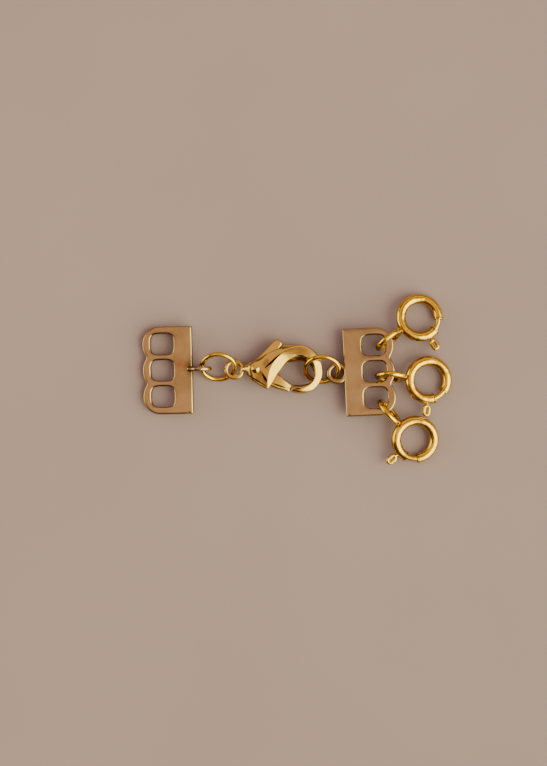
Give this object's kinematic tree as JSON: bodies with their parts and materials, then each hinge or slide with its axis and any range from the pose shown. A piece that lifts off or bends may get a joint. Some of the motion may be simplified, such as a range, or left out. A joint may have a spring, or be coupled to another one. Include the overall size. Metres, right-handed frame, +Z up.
{
  "type": "three-strand layering clasp",
  "caption": "Gold-plated necklace layering clasp: scalloped end plates joined by a lobster clasp, with spring rings",
  "frame": {"origin": "middle of the base of the whole clasp, on the surface that it lies on", "axes": "+Z up, +X along the clasp from the bare end plate towards the spring rings"},
  "size_m": [0.0388, 0.0214, 0.004],
  "materials": {
    "plate_gold": "polished gold plate",
    "wire_gold": "polished gold plate",
    "cast_gold": "polished gold plate",
    "tube_gold": "polished gold plate"
  },
  "bodies": {
    "root": {"left_plate": "plate_gold", "left_link": "wire_gold", "lobster_body": "cast_gold", "lobster_rivet": "cast_gold", "right_link": "wire_gold", "right_plate": "plate_gold", "spring_ring_1": "tube_gold", "spring_ring_2": "tube_gold", "spring_ring_3": "tube_gold"},
    "lever": {"lobster_lever": "cast_gold"},
    "bolt_1": {"spring_bolt_1": "wire_gold"},
    "bolt_2": {"spring_bolt_2": "wire_gold"},
    "bolt_3": {"spring_bolt_3": "wire_gold"}
  },
  "joints": [
    {"name": "lever_hinge", "type": "hinge", "parent": "root", "child": "lever", "pos_m": [-0.00511, 0.00133, 0.00142], "axis": [0, -0.0349, 0.9994], "range_deg": [0, 20], "stiffness_Nm_per_rad": 0.01, "springref_deg": -11.46},
    {"name": "bolt_slide_1", "type": "hinge", "parent": "root", "child": "bolt_1", "pos_m": [0.01536, 0.00771, 0.00107], "axis": [0.1587, 0.1132, 0.9808], "range_deg": [-38, 0], "stiffness_Nm_per_rad": 0.002, "springref_deg": 17.19},
    {"name": "bolt_slide_2", "type": "hinge", "parent": "root", "child": "bolt_2", "pos_m": [0.01647, -0.00008, 0.00107], "axis": [0.1942, -0.0163, 0.9808], "range_deg": [-38, 0], "stiffness_Nm_per_rad": 0.002, "springref_deg": 17.19},
    {"name": "bolt_slide_3", "type": "hinge", "parent": "root", "child": "bolt_3", "pos_m": [0.0148, -0.00754, 0.00107], "axis": [0.1341, -0.1414, 0.9808], "range_deg": [-38, 0], "stiffness_Nm_per_rad": 0.002, "springref_deg": 17.19}
  ]
}
